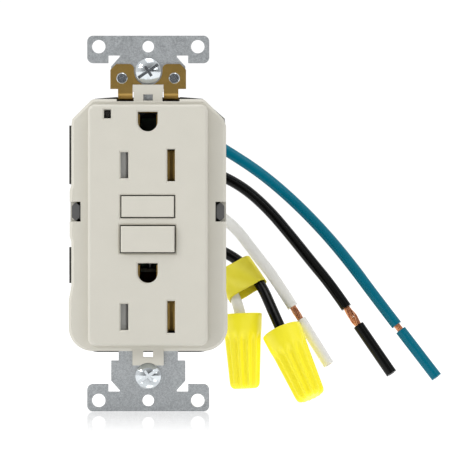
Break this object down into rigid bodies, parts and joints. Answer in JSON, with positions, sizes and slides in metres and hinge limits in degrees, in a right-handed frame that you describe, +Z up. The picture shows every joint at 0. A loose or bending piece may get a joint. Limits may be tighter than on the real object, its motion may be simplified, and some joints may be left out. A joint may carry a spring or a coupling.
{
  "type": "ground fault receptacle",
  "caption": "Rectangular duplex ground-fault receptacle on a steel strap, with test and reset buttons, stripped pigtail leads and wire nuts.",
  "frame": {"origin": "centre of the mounting strap's back face, on the line between the two wall-plate screw holes", "axes": "+Z up along the strap, -Y towards the user out of the face, +X to the user's right"},
  "size_m": [0.1049, 0.078, 0.1031],
  "materials": {
    "almond_plastic": "satin moulded almond",
    "button_plastic": "satin moulded almond",
    "black_plastic": "moulded black",
    "grey_plastic": "moulded grey",
    "galvanised_steel": "galvanised",
    "brass": "rolled brass",
    "zinc_screw": "bright zinc",
    "spring_steel": "drawn wire",
    "fibre": "pressed fibre",
    "clear_plastic": "clear light pipe",
    "board_laminate": "glass laminate",
    "component_black": "moulded epoxy",
    "component_blue": "dipped coating",
    "ferrite": "sintered core",
    "copper": "bare copper",
    "teal_insulation": "extruded nylon jacket",
    "black_insulation": "extruded nylon jacket",
    "white_insulation": "extruded nylon jacket",
    "yellow_plastic": "moulded yellow",
    "yellow_tape": "coated label tape"
  },
  "bodies": {
    "casing": {"front_cover": "almond_plastic", "rear_body": "black_plastic", "inner_frame": "grey_plastic", "mounting_strap": "galvanised_steel", "ground_strap": "brass", "strap_rivets": "zinc_screw", "screw_retainers": "fibre", "assembly_screws": "zinc_screw", "test_contact": "brass", "test_spring": "spring_steel", "reset_spring": "spring_steel", "indicator_lens": "clear_plastic", "indicator_lamp": "clear_plastic", "shutter_trays": "grey_plastic", "shutter_spring_upper": "spring_steel", "shutter_spring_lower": "spring_steel", "hot_contact": "brass", "neutral_contact": "brass", "line_terminals": "brass", "load_terminals": "brass", "solenoid_bobbin": "black_plastic", "solenoid_coil": "copper", "plunger_spring": "spring_steel", "circuit_board": "board_laminate", "sense_transformer": "ferrite", "neutral_transformer": "ferrite", "transformer_boat": "black_plastic", "control_chip": "component_black", "filter_capacitor": "component_black", "surge_varistor": "component_blue", "board_resistors": "component_blue", "lead_ground": "teal_insulation", "lead_line_black": "black_insulation", "lead_line_white": "white_insulation", "lead_load_black": "black_insulation", "lead_load_white": "white_insulation", "conductor_ground": "copper", "conductor_line_black": "copper", "conductor_line_white": "copper", "lead_label": "yellow_tape"},
    "test_button": {"test_button": "button_plastic"},
    "reset_button": {"reset_button": "button_plastic", "reset_pin": "zinc_screw"},
    "shutter_upper": {"shutter_upper": "grey_plastic"},
    "shutter_lower": {"shutter_lower": "grey_plastic"},
    "contact_carrier": {"contact_carrier": "black_plastic", "contact_bridges": "brass", "latch_spring": "spring_steel"},
    "latch": {"latch_plate": "zinc_screw"},
    "plunger": {"solenoid_plunger": "zinc_screw"},
    "box_screw_top": {"box_screw_top": "zinc_screw"},
    "box_screw_bottom": {"box_screw_bottom": "zinc_screw"},
    "wire_nut_left": {"wire_nut_left": "yellow_plastic", "wire_nut_left_spring": "spring_steel"},
    "wire_nut_right": {"wire_nut_right": "yellow_plastic", "wire_nut_right_spring": "spring_steel"},
    "slug_ground": {"insulation_slug_ground": "teal_insulation"},
    "slug_line_black": {"insulation_slug_line_black": "black_insulation"},
    "slug_line_white": {"insulation_slug_line_white": "white_insulation"}
  },
  "joints": [
    {"name": "test_press", "type": "slide", "parent": "casing", "child": "test_button", "axis": [0, 1, 0], "range_m": [0, 0.0012], "stiffness_N_per_m": 400, "deforming": ["test_spring"]},
    {"name": "reset_press", "type": "slide", "parent": "casing", "child": "reset_button", "axis": [0, 1, 0], "range_m": [0, 0.0022], "stiffness_N_per_m": 600, "deforming": ["reset_spring"]},
    {"name": "shutter_upper_slide", "type": "slide", "parent": "casing", "child": "shutter_upper", "axis": [-1, 0, 0], "range_m": [0, 0.0026], "stiffness_N_per_m": 80, "deforming": ["shutter_spring_upper"]},
    {"name": "shutter_lower_slide", "type": "slide", "parent": "casing", "child": "shutter_lower", "axis": [-1, 0, 0], "range_m": [0, 0.0026], "stiffness_N_per_m": 80, "deforming": ["shutter_spring_lower"]},
    {"name": "carrier_lift", "type": "slide", "parent": "casing", "child": "contact_carrier", "axis": [0, -1, 0], "range_m": [0, 0.0015], "stiffness_N_per_m": 200},
    {"name": "latch_slide", "type": "slide", "parent": "contact_carrier", "child": "latch", "axis": [0, 0, 1], "range_m": [0, 0.0012], "stiffness_N_per_m": 150, "deforming": ["latch_spring"]},
    {"name": "plunger_slide", "type": "slide", "parent": "casing", "child": "plunger", "axis": [0, 0, 1], "range_m": [0, 0.0012], "deforming": ["plunger_spring"]},
    {"name": "box_screw_top_turn", "type": "hinge", "parent": "casing", "child": "box_screw_top", "pos_m": [0, 0, 0.04167], "axis": [0, 1, 0], "continuous": true},
    {"name": "box_screw_bottom_turn", "type": "hinge", "parent": "casing", "child": "box_screw_bottom", "pos_m": [0, 0, -0.04167], "axis": [0, 1, 0], "continuous": true},
    {"name": "wire_nut_right_twist", "type": "hinge", "parent": "casing", "child": "wire_nut_right", "pos_m": [0.0409, 0.0474, -0.0389], "axis": [0.3922, -0.2705, -0.8792], "continuous": true},
    {"name": "wire_nut_left_twist", "type": "hinge", "parent": "casing", "child": "wire_nut_left", "pos_m": [0.0263, 0.0553, -0.0354], "axis": [0.0433, -0.0722, -0.9964], "continuous": true},
    {"name": "slug_ground_pull", "type": "slide", "parent": "casing", "child": "slug_ground", "axis": [0.5992, -0.1498, -0.7865], "range_m": [0, 0.017]},
    {"name": "slug_line_black_pull", "type": "slide", "parent": "casing", "child": "slug_line_black", "axis": [0.5545, -0.1805, -0.8124], "range_m": [0, 0.017]},
    {"name": "slug_line_white_pull", "type": "slide", "parent": "casing", "child": "slug_line_white", "axis": [0.5219, -0.1535, -0.8391], "range_m": [0, 0.0155]}
  ],
  "couplings": [
    {"joint": "plunger_slide", "follows": "latch_slide", "ratio": 1}
  ]
}
